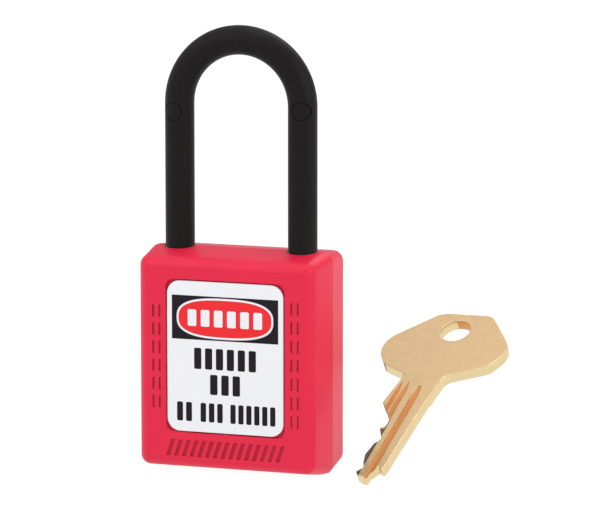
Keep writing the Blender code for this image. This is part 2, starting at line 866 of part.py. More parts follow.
def build():
    clear_scene()
    parts = new_collection("safety_padlock")
    cutters = new_collection("cutters", shown=False)
    red_plastic = new_material("red_plastic", (0.72, 0.03, 0.06), 0.38)
    black_nylon = new_material("black_nylon", (0.012, 0.012, 0.013), 0.42)
    label_white = new_material("label_white", (0.86, 0.87, 0.88), 0.35)
    grey_plastic = new_material("grey_plastic", (0.25, 0.26, 0.27), 0.5)
    brass = new_material("brass", (0.74, 0.55, 0.27), 0.3, 1.0)
    steel = new_material("steel", (0.62, 0.62, 0.63), 0.3, 1.0)

    body_shell(parts, cutters, red_plastic)
    label("front_label", -1, parts, label_white)
    label("rear_label", 1, parts, label_white)
    bottom_cover(parts, cutters, red_plastic)
    cover_screw(parts, cutters, steel)
    cylinder_housing(parts, cutters, brass)
    bolt_guide(parts, cutters, grey_plastic)
    heel_retainer(parts, cutters, steel)
    locking_bolt(parts, cutters, steel)

    plug = cylinder_plug(parts, cutters, brass)
    key_pins = pin_stacks(parts, brass, steel)
    clip = plug_clip(parts, cutters, steel)
    cam = drive_cam(parts, cutters, steel)
    plug_axis = new_axis("plug_axis", (PLUG_X, 0, 0))
    hold_in_place(plug_axis, [plug, clip, cam, *key_pins])

    shackle(parts, cutters, black_nylon)
    shackle_spring(parts, steel)
    key(parts, cutters, brass)


build()
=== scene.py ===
"""Looks of a safety lockout padlock and its key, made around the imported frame.

Metres, +Z up, front towards -Y, as in the frame. Sizes come from the frame's boxes where a box
gives them, and from the named values below where the shape inside the box matters.
"""

import json
import math

import bmesh
import bpy
from mathutils import Matrix, Vector

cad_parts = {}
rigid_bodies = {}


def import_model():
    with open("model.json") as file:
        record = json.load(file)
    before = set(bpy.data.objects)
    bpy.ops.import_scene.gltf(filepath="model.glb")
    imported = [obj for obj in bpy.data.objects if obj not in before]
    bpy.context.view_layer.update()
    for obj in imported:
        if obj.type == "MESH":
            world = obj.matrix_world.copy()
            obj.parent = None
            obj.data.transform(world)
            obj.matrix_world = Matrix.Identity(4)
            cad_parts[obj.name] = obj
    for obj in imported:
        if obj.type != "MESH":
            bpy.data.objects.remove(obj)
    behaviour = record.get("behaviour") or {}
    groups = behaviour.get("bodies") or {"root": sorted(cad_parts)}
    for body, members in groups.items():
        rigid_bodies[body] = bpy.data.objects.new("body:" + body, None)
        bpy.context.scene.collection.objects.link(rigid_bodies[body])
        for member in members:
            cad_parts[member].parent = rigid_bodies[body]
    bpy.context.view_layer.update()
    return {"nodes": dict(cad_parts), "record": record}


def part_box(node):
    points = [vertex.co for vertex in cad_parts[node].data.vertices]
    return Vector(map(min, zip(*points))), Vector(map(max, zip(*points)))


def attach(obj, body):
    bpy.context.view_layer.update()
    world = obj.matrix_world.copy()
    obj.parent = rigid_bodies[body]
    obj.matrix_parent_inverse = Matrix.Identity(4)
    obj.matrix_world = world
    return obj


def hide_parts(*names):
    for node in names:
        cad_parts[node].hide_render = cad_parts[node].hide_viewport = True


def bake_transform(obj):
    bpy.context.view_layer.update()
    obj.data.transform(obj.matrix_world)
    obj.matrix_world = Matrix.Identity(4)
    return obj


MM = 0.001
TINY = MM / 1000

# Edges sharper than this stay sharp in the shading. The casing keeps its slight crease too.
SHARP_EDGE = math.radians(35)
CASING_SHARP_EDGE = math.radians(13)
FLAT_NORMAL = 0.999  # how much of a flat face's normal lies along its axis, at least
SOFT_EDGE_SEGMENTS = 2

# Moulded body, which tapers away from its widest plane, y = 0.
SIDE_DRAFT = 0.8 * MM
FRONT_TOP_DRAFT = 1.0 * MM
BACK_TOP_DRAFT = 1.1 * MM
FRONT_BOTTOM_DRAFT = 1.1 * MM
BACK_BOTTOM_DRAFT = 0.45 * MM
BOTTOM_RIDGE = 0.5 * MM
CORNER_RADIUS = 2.2 * MM
FRONT_EDGE_RADIUS = 1.9 * MM
BACK_EDGE_RADIUS = 1.3 * MM
CORNER_SEGMENTS = 12
EDGE_SEGMENTS = 8
EDGE_PROFILE = 0.4  # 0.5 is round and 0.25 a flat chamfer

# Cavities of the body.
PART_GAP = 0.3 * MM
LEG_BORE_CLEARANCE = 0.25 * MM
HEEL_BORE_FLOOR = 3.0 * MM
POCKET_TOP = 31.5 * MM
BOLT_POCKET_LEFT = -9.1 * MM
BOLT_POCKET_TOP = 41.5 * MM
CAVITY_START = -1.0 * MM
TONGUE_WINDOW_Z = (35.7 * MM, 38.3 * MM)
TONGUE_WINDOW_HALF_WIDTH = 1.9 * MM

# Labels in their recesses. A recess is cut from its floor out to its reach, past the casing.
LABEL_CORNER = 2.6 * MM
LABEL_EDGE = 0.05 * MM
RECESS_CORNER = 1.6 * MM
RECESS_REACH = 12 * MM
PRINT_THICKNESS = 0.012 * MM

# Print on the front label: a panel with an oval in it, and plain bars in place of words.
HEADER_CENTRE = (0, 31.25 * MM)
PANEL_SIZE = (22.0 * MM, 8.7 * MM)
PANEL_CORNER = 0.08 * MM
OVAL_RIM_SIZE = (20.0 * MM, 8.1 * MM)
OVAL_SIZE = (19.2 * MM, 7.3 * MM)
OVAL_SQUARENESS = 2.7
OVAL_STEPS = 96
BAR_CORNER = 0.3 * MM
BAR_SHARE = 0.66  # of the distance from one bar to the next

# Each word's left, right, low and high ends in millimetres, and its number of bars.
HEADER_WORD = (-7.7, 7.7, 29.6, 32.9, 6)
TEXT_WORDS = (
    (-6.4, 6.4, 21.1, 25.3, 6),
    (-3.1, 3.1, 16.1, 20.1, 3),
    (-10.0, -6.9, 10.6, 14.4, 2),
    (-5.1, -0.5, 10.6, 14.4, 3),
    (1.1, 10.4, 10.6, 14.4, 6),
)

# Ruled lines on the rear label. The first is measured from the label's lower edge.
RULE_COUNT = 5
RULE_FIRST = 4.2 * MM
RULE_PITCH = 5.2 * MM
RULE_LENGTH = 20.0 * MM
RULE_WIDTH = 0.25 * MM

# Marks sunk into the front: columns of tick pairs beside the label, and a row of strokes below.
MARK_DEPTH = 0.3 * MM
TICK_WIDTH = 0.42 * MM
TICK_HEIGHT = 2.5 * MM
TICK_SPACING = 1.3 * MM
TICK_ROUNDING = 0.98  # of half the width, so that each end keeps a short flat
TICK_COLUMNS = (  # middle in X, low and high end, and the number of pairs
    (-14.25 * MM, 12.9 * MM, 33.5 * MM, 6),
    (14.35 * MM, 10.4 * MM, 35.3 * MM, 7),
)
STROKE_COUNT = 15
STROKE_PITCH = 1.62 * MM
STROKE_HALF_WIDTH = 0.42 * MM
STROKE_SLANT = 1.1 * MM
STROKE_FOOT = 3.5 * MM
STROKE_HEIGHT = 3.3 * MM

# Shackle.
ARCH_STEPS = 72
BAR_SIDES = 48
BAR_END_CHAMFER = 0.4 * MM
TOE_END = 32.2 * MM
NOTCH_DEPTH = 1.5 * MM
TOE_NOTCH_Z = (33.7 * MM, 41.5 * MM)
HEEL_GROOVE_Z = (22.1 * MM, 38.4 * MM)
NOTCH_HALF_WIDTH = 4 * MM  # more than the bar's radius
TOE_PIN_MARK_Z = 70.7 * MM
HEEL_PIN_MARK_Z = 71.8 * MM
PIN_MARK_RADIUS = 1.9 * MM
PIN_MARK_OUTWARD = 0.45 * MM
PIN_MARK_LINE = 0.18 * MM
PIN_MARK_REACH = 5 * MM  # from the bar's middle to the front

# Shackle spring.
SPRING_WIRE_RADIUS = 0.35 * MM
SPRING_TURNS = 5
SPRING_STEPS = 24
SPRING_SIDES = 12

# Key, drawn flat with its tip at its own origin and the bow along +Y.
KEY_THICKNESS = 2.2 * MM
KEY_TIP_PLACE = Vector((29.0, -12.4, 1.85)) * MM
KEY_PITCH = math.radians(31.0)
KEY_TURN = math.radians(-9.0)
KEY_HOLE_PLACE = Vector((1.35, 45.1)) * MM
KEY_HOLE_RADIUS = 3.05 * MM
KEY_EDGE = 0.14 * MM

# The cuts' walls lie left of the first and below the second, and the bow's above the third.
CUTS_RIGHT_END = -0.9 * MM
CUTS_UPPER_END = 22 * MM
BOW_LOWER_END = 25 * MM

# Parts of a wall's normal, at most: X on the hole's copper side, Y where a cut faces the tip, and
# X and Y on the bow's left side. The dark brass on these cut and bow walls is a painted dark
# reflection.
HOLE_COPPER_X = 0.3
CUT_TIPWARD_Y = -0.85
BOW_DARK_X = -0.5
BOW_DARK_Y = 0.3

# Each groove's middle, width, floor width, depth, start and end.
KEY_GROOVES = {
    "long_groove": (0.65 * MM, 1.6 * MM, 0.7 * MM, 0.55 * MM, -1 * MM, 28.2 * MM),
    "short_groove": (-2.1 * MM, 1.2 * MM, 0.3 * MM, 0.5 * MM, 15 * MM, 29.0 * MM),
    "side_groove": (-3.5 * MM, 1.1 * MM, 0.4 * MM, 0.5 * MM, 18 * MM, 28.6 * MM),
}
GROOVE_RUN_OUT = 5 * MM
CUT_LAND = ((-4 * MM, -MM, -0.3 * MM), (-1.3 * MM, 17.6 * MM, MM))

# Camera: where it looks, from which side and how far.
CAMERA_TARGET = Vector((11.7, 3.9, 42.3)) * MM
CAMERA_AZIMUTH = math.radians(18.63)
CAMERA_ELEVATION = math.radians(9.19)
CAMERA_DISTANCE = 851 * MM
CAMERA_LENS = 256.3

# Brightness of the surround: at the horizon, in front of the lock and behind it. The spans say
# where it fades, in the Y and the Z of a direction one unit long.
SKY_HORIZON = 1.05
SKY_FRONT = 0.78
SKY_BACK = 0.4
SKY_BACK_SPAN = (0.55, 0.95)
SKY_HORIZON_SPAN = (0.04, 0.14)

# Floor, which glows so that it stays pale under the lock.
FLOOR_REACH = 6.0
FLOOR_TONES = ((0.09, 0.09, 0.09), (0.1, 0.1, 0.1))
FLOOR_GLOW = 0.96

# Each light's azimuth and elevation in degrees, distance, size, power and colour.
LIGHT_TARGET = Vector((0.0, 0.0, 0.04))
WHITE = (1.0, 1.0, 1.0)
LIGHTS = {
    "key_light": (-40, 40, 0.4, 0.25, 0.36, WHITE),
    "side_light": (75, 25, 0.9, 0.5, 2.4, (1.0, 0.94, 0.88)),
    "top_light": (-10, 88, 0.6, 0.3, 0.85, WHITE),
    "rear_light": (170, 40, 0.9, 0.5, 1.4, WHITE),
}

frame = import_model()


# ---------------------------------------------------------------- meshes


def new_object(name, shape, material):
    """A mesh object in the scene, made from a bmesh."""
    bmesh.ops.recalc_face_normals(shape, faces=shape.faces)
    mesh = bpy.data.meshes.new(name)
    shape.to_mesh(mesh)
    shape.free()
    made = bpy.data.objects.new(name, mesh)
    bpy.context.scene.collection.objects.link(made)
    mesh.materials.append(material)
    return made


def shade_round(made, angle=SHARP_EDGE):
    """Smooth shading, apart from the edges that are sharper than the angle."""
    made.data.shade_smooth()
    made.data.set_sharp_from_angle(angle=angle)


def flatten_faces(made, axis):
    """Keeps the faces that look along an axis flat, so that soft edges don't shade them."""
    for face in made.data.polygons:
        if abs(face.normal[axis]) > FLAT_NORMAL:
            face.use_smooth = False


def loft(name, sections, material):
    """A closed body through sections, which are loops with the same number of points."""
    shape = bmesh.new()
    loops = [[shape.verts.new(point) for point in section] for section in sections]
    count = len(loops[0])
    for near, far in zip(loops, loops[1:]):
        for index in range(count):
            after = (index + 1) % count
            shape.faces.new((near[index], near[after], far[after], far[index]))
    shape.faces.new(loops[0])
    shape.faces.new(loops[-1])
    return new_object(name, shape, material)


def plate(name, outline, near, far, material):
    """An outline in the X-Z plane, thickened from y = near to y = far."""
    sections = [[(x, y, z) for x, z in outline] for y in (near, far)]
    return loft(name, sections, material)


def block(name, low, high, material):
    """A box between two corners."""
    shape = bmesh.new()
    low, high = Vector(low), Vector(high)
    place = Matrix.Translation((low + high) / 2) @ Matrix.Diagonal((*(high - low), 1.0))
    bmesh.ops.create_cube(shape, size=1.0, matrix=place)
    return new_object(name, shape, material)


def rod(name, axis, centre, radius, span, material, segments=64):
    """A cylinder along X, Y or Z. `centre` gives its other two coordinates, and `span` its ends."""
    turn = {
        "X": Matrix.Rotation(math.pi / 2, 4, "Y"),
        "Y": Matrix.Rotation(math.pi / 2, 4, "X"),
        "Z": Matrix.Identity(4),
    }[axis]
    place = list(centre)
    place.insert("XYZ".index(axis), (span[0] + span[1]) / 2)
    shape = bmesh.new()
    bmesh.ops.create_cone(
        shape,
        cap_ends=True,
        segments=segments,
        radius1=radius,
        radius2=radius,
        depth=span[1] - span[0],
        matrix=Matrix.Translation(place) @ turn,
    )
    return new_object(name, shape, material)


def settle(made):
    """Puts an object's evaluated mesh in place of its own, so that no modifier is left."""
    graph = bpy.context.evaluated_depsgraph_get()
    mesh = bpy.data.meshes.new_from_object(made.evaluated_get(graph))
    made.modifiers.clear()
    made.data = mesh


def carve(made, cutters):
    """Cuts the cutters out of the object and removes them. Cut faces take their material."""
    for cutter in cutters:
        step = made.modifiers.new(cutter.name, "BOOLEAN")
        step.operation = "DIFFERENCE"
        step.material_mode = "TRANSFER"
        step.object = cutter
    settle(made)
    for cutter in cutters:
        bpy.data.objects.remove(cutter, do_unlink=True)


def joined(name, pieces):
    """One object that holds the meshes of several."""
    shape = bmesh.new()
    material = pieces[0].data.materials[0]
    for piece in pieces:
        shape.from_mesh(piece.data)
        bpy.data.objects.remove(piece, do_unlink=True)
    return new_object(name, shape, material)


def soften(made, width, angle=math.radians(50)):
    """Rounds the sharp edges by a small width."""
    bevel = made.modifiers.new("soft_edges", "BEVEL")
    bevel.width = width
    bevel.segments = SOFT_EDGE_SEGMENTS
    bevel.limit_method = "ANGLE"
    bevel.angle_limit = angle
    bevel.miter_outer = "MITER_ARC"
    settle(made)


# ---------------------------------------------------------------- outlines


def arc(centre, radius, start, sweep, steps):
    """The points of an arc, from its start angle through its sweep."""
    return [
        (
            centre[0] + radius * math.cos(start + sweep * step / steps),
            centre[1] + radius * math.sin(start + sweep * step / steps),
        )
        for step in range(steps + 1)
    ]


def rounded_rectangle(centre, width, height, radius, steps=10):
    """A closed outline with four equal round corners, each in that number of steps."""
    outline = []
    for quarter, (side, end) in enumerate([(1, 1), (-1, 1), (-1, -1), (1, -1)]):
        corner = (
            centre[0] + side * (width / 2 - radius),
            centre[1] + end * (height / 2 - radius),
        )
        outline += arc(corner, radius, quarter * math.pi / 2, math.pi / 2, steps)
    return outline


def oval(centre, width, height):
    """A superellipse: an ellipse at squareness 2, and fuller at the corners above it."""
    outline = []
    power = 2 / OVAL_SQUARENESS
    for step in range(OVAL_STEPS):
        turn = 2 * math.pi * step / OVAL_STEPS
        across, up = math.cos(turn), math.sin(turn)
        outline.append(
            (
                centre[0] + width / 2 * math.copysign(abs(across) ** power, across),
                centre[1] + height / 2 * math.copysign(abs(up) ** power, up),
            )
        )
    return outline


def rounded_corners(corners, radii, steps=6):
    """A closed outline with each corner replaced by an arc of its radius."""
    outline = []
    count = len(corners)
    for index, (corner, radius) in enumerate(zip(corners, radii)):
        corner = Vector(corner)
        before = (Vector(corners[index - 1]) - corner).normalized()
        after = (Vector(corners[(index + 1) % count]) - corner).normalized()
        half_angle = before.angle(after) / 2
        if radius == 0:
            outline.append(corner)
            continue
        reach = radius / math.tan(half_angle)
        centre = corner + (before + after).normalized() * radius / math.sin(half_angle)
        start = corner + before * reach - centre
        end = corner + after * reach - centre
        sweep = math.atan2(start.x * end.y - start.y * end.x, start.dot(end))
        for step in range(steps + 1):
            outline.append(centre + Matrix.Rotation(sweep * step / steps, 2) @ start)
    return outline


# ---------------------------------------------------------------- materials


NOISE_ROUGHNESS = 0.55
LAMINATE_ROUGHNESS = 0.32


class Shader:
    """A node material under construction: a Principled BSDF and helpers for its inputs."""

    def __init__(self, name):
        self.material = bpy.data.materials.new(name)
        self.material.use_nodes = True
        self.tree = self.material.node_tree
        self.surface = self.tree.nodes["Principled BSDF"]
        self.place = self.tree.nodes.new("ShaderNodeTexCoord").outputs["Object"]

    def link(self, source, target):
        """Joins an output to an input."""
        self.tree.links.new(source, target)

    def noise(self, feature_size, detail, stretch=(1, 1, 1)):
        """Noise with features of about that size in metres, longer where stretch is above 1."""
        mapping = self.tree.nodes.new("ShaderNodeMapping")
        mapping.inputs["Scale"].default_value = [1 / factor for factor in stretch]
        node = self.tree.nodes.new("ShaderNodeTexNoise")
        node.inputs["Scale"].default_value = 1 / feature_size
        node.inputs["Detail"].default_value = detail
        node.inputs["Roughness"].default_value = NOISE_ROUGHNESS
        self.link(self.place, mapping.inputs["Vector"])
        self.link(mapping.outputs["Vector"], node.inputs["Vector"])
        return node.outputs["Fac"]

    def ranged(self, source, low, high, from_low=0.3, from_high=0.7):
        """The source's middle range, stretched to run from low to high."""
        node = self.tree.nodes.new("ShaderNodeMapRange")
        node.inputs["From Min"].default_value = from_low
        node.inputs["From Max"].default_value = from_high
        node.inputs["To Min"].default_value = low
        node.inputs["To Max"].default_value = high
        self.link(source, node.inputs["Value"])
        return node.outputs["Result"]

    def mixed(self, factor, first, second):
        """A colour between two, each a colour or a node's output."""
        node = self.tree.nodes.new("ShaderNodeMix")
        node.data_type = "RGBA"
        self.link(factor, node.inputs["Factor"])
        for index, colour in ((6, first), (7, second)):
            if isinstance(colour, tuple):
                node.inputs[index].default_value = (*colour, 1.0)
            else:
                self.link(colour, node.inputs[index])
        return node.outputs[2]

    def bump(self, layers):
        """Adds up bumps: (height source, depth in metres) pairs."""
        normal = None
        for source, depth in layers:
            node = self.tree.nodes.new("ShaderNodeBump")
            node.inputs["Strength"].default_value = 1.0
            node.inputs["Distance"].default_value = depth
            self.link(source, node.inputs["Height"])
            if normal:
                self.link(normal, node.inputs["Normal"])
            normal = node.outputs["Normal"]
        self.link(normal, self.surface.inputs["Normal"])


def darker(colour, share):
    """The colour with each channel brought down to that share."""
    return tuple(channel * share for channel in colour)


def moulded_plastic(
    name, colour, roughness, gloss=0.3, grain=0.22 * MM, depth=0.006 * MM, speckle=0.05
):
    """Moulded plastic: fine spark-eroded grain, slow waviness and a slightly uneven colour.
    `speckle` is how much darker than the colour the grain's low spots are."""
    shader = Shader(name)
    cloud = shader.noise(6 * MM, detail=4)
    fine = shader.noise(grain, detail=3)
    wave = shader.noise(9 * MM, detail=1)
    clouded = shader.mixed(shader.ranged(cloud, 0.0, 1.0), darker(colour, 0.93), colour)
    low_spots = shader.ranged(fine, 1.0, 0.0, from_low=0.35, from_high=0.55)
    speckled = shader.mixed(low_spots, clouded, darker(colour, 1 - speckle))
    shader.link(speckled, shader.surface.inputs["Base Color"])
    uneven = shader.ranged(fine, roughness - 0.05, roughness + 0.07)
    shader.link(uneven, shader.surface.inputs["Roughness"])
    shader.surface.inputs["Specular IOR Level"].default_value = gloss
    shader.bump([(fine, depth), (wave, 0.05 * MM)])
    return shader.material


def printed_laminate(name, colour, gloss=0.4):
    """Ink or laminate film: smooth, with a faint orange peel."""
    shader = Shader(name)
    speck = shader.noise(0.35 * MM, detail=2)
    peel = shader.noise(1.6 * MM, detail=2)
    toned = shader.mixed(shader.ranged(speck, 0.0, 1.0), darker(colour, 0.96), colour)
    shader.link(toned, shader.surface.inputs["Base Color"])
    uneven = shader.ranged(peel, LAMINATE_ROUGHNESS - 0.05, LAMINATE_ROUGHNESS + 0.08)
    shader.link(uneven, shader.surface.inputs["Roughness"])
    shader.surface.inputs["Specular IOR Level"].default_value = gloss
    shader.bump([(peel, 0.01 * MM)])
    return shader.material


def worked_metal(name, colour, roughness, streak=(1, 12, 1), tarnish=0.08):
    """Metal with fine tool lines, small dents and a slightly uneven tone. `streak` is how much
    longer the lines are along X, Y and Z, and `tarnish` how much darker its small specks are."""
    shader = Shader(name)
    lines = shader.noise(0.12 * MM, detail=4, stretch=streak)
    tone = shader.noise(3.5 * MM, detail=4)
    speck = shader.noise(0.7 * MM, detail=3)
    dents = shader.noise(1.1 * MM, detail=3)
    toned = shader.mixed(shader.ranged(tone, 0.0, 1.0), darker(colour, 0.88), colour)
    dull = darker(colour, 1 - tarnish)
    tarnished = shader.mixed(shader.ranged(speck, 1.0, 0.0), toned, dull)
    shader.link(tarnished, shader.surface.inputs["Base Color"])
    shader.surface.inputs["Metallic"].default_value = 1.0
    uneven = shader.ranged(lines, roughness - 0.06, roughness + 0.1)
    shader.link(uneven, shader.surface.inputs["Roughness"])
    shader.bump([(lines, 0.004 * MM), (dents, 0.008 * MM)])
    return shader.material


RED = (0.722, 0.014, 0.055)
NYLON = (0.005, 0.0034, 0.0034)
MATERIALS = {
    "red_plastic": moulded_plastic("red_plastic", RED, 0.42, gloss=0.24),
    "black_nylon": moulded_plastic(
        "black_nylon", NYLON, 0.5, gloss=0.165, grain=0.38 * MM, depth=0.05 * MM, speckle=0.85
    ),
    "label_print": printed_laminate("label_print", (0.775, 0.783, 0.822)),
    "grey_plastic": moulded_plastic("grey_plastic", (0.12, 0.13, 0.14), 0.5),
    "brass": worked_metal("brass", (0.66, 0.45, 0.2), 0.3, streak=(1, 1, 10)),
    "key_brass": worked_metal("key_brass", (0.80, 0.56, 0.312), 0.34, tarnish=0.16),
    "steel": worked_metal("steel", (0.58, 0.58, 0.6), 0.28, streak=(8, 1, 1)),
    "spring_steel": worked_metal("spring_steel", (0.62, 0.62, 0.64), 0.24, streak=(1, 1, 1)),
}
# A darker red for the faces cut by the sunk marks: painted shade in the recesses.
RED_PAINTED_SHADE = moulded_plastic("red_plastic_painted_shade", darker(RED, 0.72), 0.6)
MILLED_BRASS = worked_metal("milled_brass", (0.68, 0.32, 0.12), 0.3, streak=(1, 20, 1))
# Dark brass: a painted dark reflection on the key's cut walls and the bow's left wall, and painted
# shade on the lowered land beside the long groove.
BRASS_PAINTED_SHADE = worked_metal("brass_painted_shade", (0.17, 0.12, 0.09), 0.38)
# Lighter brass on the key's other walls: a painted highlight along its edges.
BRASS_PAINTED_HIGHLIGHT = worked_metal("brass_painted_highlight", (0.83, 0.665, 0.375), 0.26, tarnish=0.12)
INK_BLACK = printed_laminate("ink_black", (0.013, 0.01, 0.013), gloss=0.1)
INK_RED = printed_laminate("ink_red", (0.78, 0.012, 0.02), gloss=0.3)
INK_GREY = printed_laminate("ink_grey", (0.3, 0.31, 0.33))


def finish_piece(made, body, slot, *nodes):
    """Puts the piece on the body it rides on and hides the CAD nodes it stands for. slot is not
    used.
    """
    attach(made, body)
    if nodes:
        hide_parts(*nodes)


def finish_cad_nodes():
    """Gives every CAD node the procedural material of its slot."""
    for part in frame["record"]["subparts"]:
        node = frame["nodes"][part["node"]]
        node.data.materials.clear()
        node.data.materials.append(MATERIALS[part["material_slot"]])


# ---------------------------------------------------------------- body


def body_outline(name, material):
    """The body's outer form: a rounded block in two halves that taper away from y = 0."""
    low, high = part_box("body_shell")
    size = high - low
    half_depth = size.y / 2
    shape = bmesh.new()
    bmesh.ops.create_cube(shape, size=1.0, matrix=Matrix.Diagonal((*size, 1.0)))
    bmesh.ops.translate(shape, verts=shape.verts, vec=(0, 0, size.z / 2))
    corners = [e for e in shape.edges if abs(e.verts[0].co.y - e.verts[1].co.y) > half_depth]
    bmesh.ops.bevel(
        shape,
        geom=corners,
        offset=CORNER_RADIUS,
        segments=CORNER_SEGMENTS,
        profile=0.5,
        affect="EDGES",
    )
    everything = shape.verts[:] + shape.edges[:] + shape.faces[:]
    bmesh.ops.bisect_plane(shape, geom=everything, plane_no=(0, 1, 0))
    for vert in shape.verts:
        if vert.co.y < -half_depth / 2:
            bottom, top, side = FRONT_BOTTOM_DRAFT, FRONT_TOP_DRAFT, SIDE_DRAFT
        elif vert.co.y > half_depth / 2:
            bottom, top, side = BACK_BOTTOM_DRAFT, BACK_TOP_DRAFT, SIDE_DRAFT
        else:
            bottom, top, side = -BOTTOM_RIDGE, 0.0, 0.0
        vert.co.x *= 1 - 2 * side / size.x
        vert.co.z = bottom + vert.co.z * (size.z - bottom - top) / size.z
    for side, radius in ((-1, FRONT_EDGE_RADIUS), (1, BACK_EDGE_RADIUS)):
        face_y = half_depth - TINY
        rim = [e for e in shape.edges if all(side * v.co.y > face_y for v in e.verts)]
        bmesh.ops.bevel(
            shape,
            geom=rim,
            offset=radius,
            segments=EDGE_SEGMENTS,
            profile=EDGE_PROFILE,
            affect="EDGES",
        )
    everything = shape.verts[:] + shape.edges[:] + shape.faces[:]
    cut = bmesh.ops.bisect_plane(shape, geom=everything, plane_no=(0, 0, 1), clear_inner=True)
    rim = [e for e in cut["geom_cut"] if isinstance(e, bmesh.types.BMEdge)]
    bmesh.ops.contextual_create(shape, geom=rim)
    return new_object(name, shape, material)


def label_recess(name, node, side, material):
    """The cutter for a label's recess. side is -1 at the front and 1 at the back."""
    low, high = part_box(node)
    floor = (high.y if side < 0 else low.y) - side * PART_GAP
    centre = ((low.x + high.x) / 2, (low.z + high.z) / 2)
    outline = rounded_rectangle(
        centre, high.x - low.x + 2 * PART_GAP, high.z - low.z + 2 * PART_GAP, RECESS_CORNER
    )
    return plate(name, outline, floor, side * RECESS_REACH, material)


def body_cavities(material):
    """Cutters for the cylinder's pocket, the bolt's pocket and the two leg bores."""
    low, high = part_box("bottom_cover")
    left, right = low.x - PART_GAP, high.x + PART_GAP
    half = high.y + PART_GAP
    bar, leg_x = bar_radius_and_leg()
    bore = bar + LEG_BORE_CLEARANCE
    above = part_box("body_shell")[1].z + MM
    bolt_low, bolt_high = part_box("locking_bolt")
    return [
        block("cylinder_pocket", (left, -half, CAVITY_START), (right, half, POCKET_TOP), material),
        block(
            "bolt_pocket",
            (BOLT_POCKET_LEFT, -half, POCKET_TOP - MM),
            (right, half, BOLT_POCKET_TOP),
            material,
        ),
        rod("toe_bore", "Z", (-leg_x, 0), bore, (POCKET_TOP - MM, above), material),
        rod("heel_bore", "Z", (leg_x, 0), bore, (HEEL_BORE_FLOOR, above), material),
        block(
            "bolt_window",
            (-leg_x, bolt_low.y - PART_GAP, bolt_low.z - PART_GAP),
            (BOLT_POCKET_LEFT + MM, bolt_high.y + PART_GAP, BOLT_POCKET_TOP),
            material,
        ),
        block(
            "tongue_window",
            (right - MM, -TONGUE_WINDOW_HALF_WIDTH, TONGUE_WINDOW_Z[0]),
            (leg_x, TONGUE_WINDOW_HALF_WIDTH, TONGUE_WINDOW_Z[1]),
            material,
        ),
    ]


def sunk_marks():
    """Plain ticks beside the label and a row of slanted strokes under it, sunk into the front."""
    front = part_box("body_shell")[0].y
    # Each mark carries the darker red onto the faces it cuts, as painted shade.
    near, far = front - MM, front + MARK_DEPTH
    marks = []
    for column_x, low_z, high_z, count in TICK_COLUMNS:
        pitch = (high_z - low_z - TICK_HEIGHT) / (count - 1)
        for number in range(count):
            for side in (-1, 1):
                centre = (
                    column_x + side * TICK_SPACING / 2,
                    low_z + TICK_HEIGHT / 2 + number * pitch,
                )
                corner = TICK_WIDTH / 2 * TICK_ROUNDING
                outline = rounded_rectangle(centre, TICK_WIDTH, TICK_HEIGHT, corner, steps=4)
                marks.append(plate("tick", outline, near, far, RED_PAINTED_SHADE))
    for number in range(STROKE_COUNT):
        middle = (number - (STROKE_COUNT - 1) / 2) * STROKE_PITCH
        outline = [
            (
                middle + side * STROKE_HALF_WIDTH + STROKE_SLANT * (up - 0.5),
                STROKE_FOOT + STROKE_HEIGHT * up,
            )
            for side, up in ((-1, 0), (1, 0), (1, 1), (-1, 1))
        ]
        marks.append(plate("stroke", outline, near, far, RED_PAINTED_SHADE))
    return joined("sunk_marks", marks)


def sharpen_parting_line(casing):
    """Marks the edges along y = 0, where the two halves meet, as sharp."""
    mesh = casing.data
    sharp = mesh.attributes["sharp_edge"].data
    for edge in mesh.edges:
        if all(abs(mesh.vertices[index].co.y) < TINY for index in edge.vertices):
            sharp[edge.index].value = True


def make_body():
    red = MATERIALS["red_plastic"]
    casing = body_outline("body_casing", red)
    cutters = body_cavities(red)
    cutters.append(label_recess("front_recess", "front_label", -1, red))
    cutters.append(label_recess("rear_recess", "rear_label", 1, red))
    cutters.append(sunk_marks())
    carve(casing, cutters)
    shade_round(casing, CASING_SHARP_EDGE)
    sharpen_parting_line(casing)
    casing.visible_glossy = False
    finish_piece(casing, "lock_body", "red_plastic", "body_shell")


# ---------------------------------------------------------------- labels


def label_plate(name, node):
    """The blank label in place of its CAD node."""
    low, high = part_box(node)
    centre = ((low.x + high.x) / 2, (low.z + high.z) / 2)
    outline = rounded_rectangle(centre, high.x - low.x, high.z - low.z, LABEL_CORNER)
    made = plate(name, outline, low.y, high.y, MATERIALS["label_print"])
    soften(made, LABEL_EDGE)
    shade_round(made)
    flatten_faces(made, 1)
    finish_piece(made, "lock_body", "label_print", node)


def front_print(name, outlines, layer, material):
    """Ink on the front label. Each layer lies on the one below it."""
    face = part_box("front_label")[0].y
    pieces = [
        plate(name, outline, face + PRINT_THICKNESS, face - layer * PRINT_THICKNESS, material)
        for outline in outlines
    ]
    made = joined(name, pieces)
    finish_piece(made, "lock_body", "label_print")


def word_bars(left, right, low, high, count):
    """Plain upright bars that take the room of a word. The four ends are in millimetres."""
    pitch = (right - left) * MM / (count - 1 + BAR_SHARE)
    width = pitch * BAR_SHARE
    height = (high - low) * MM
    middle = (low + high) / 2 * MM
    bars = []
    for number in range(count):
        centre = (left * MM + width / 2 + number * pitch, middle)
        bars.append(rounded_rectangle(centre, width, height, BAR_CORNER, steps=4))
    return bars


def make_front_label():
    label_plate("label_front", "front_label")
    white = MATERIALS["label_print"]
    panel = rounded_rectangle(HEADER_CENTRE, *PANEL_SIZE, PANEL_CORNER, steps=2)
    front_print("label_panel", [panel], 1, INK_BLACK)
    front_print("label_oval_rim", [oval(HEADER_CENTRE, *OVAL_RIM_SIZE)], 2, white)
    front_print("label_oval", [oval(HEADER_CENTRE, *OVAL_SIZE)], 3, INK_RED)
    front_print("label_header_bars", word_bars(*HEADER_WORD), 4, white)
    text = [bar for word in TEXT_WORDS for bar in word_bars(*word)]
    front_print("label_text_bars", text, 1, INK_BLACK)


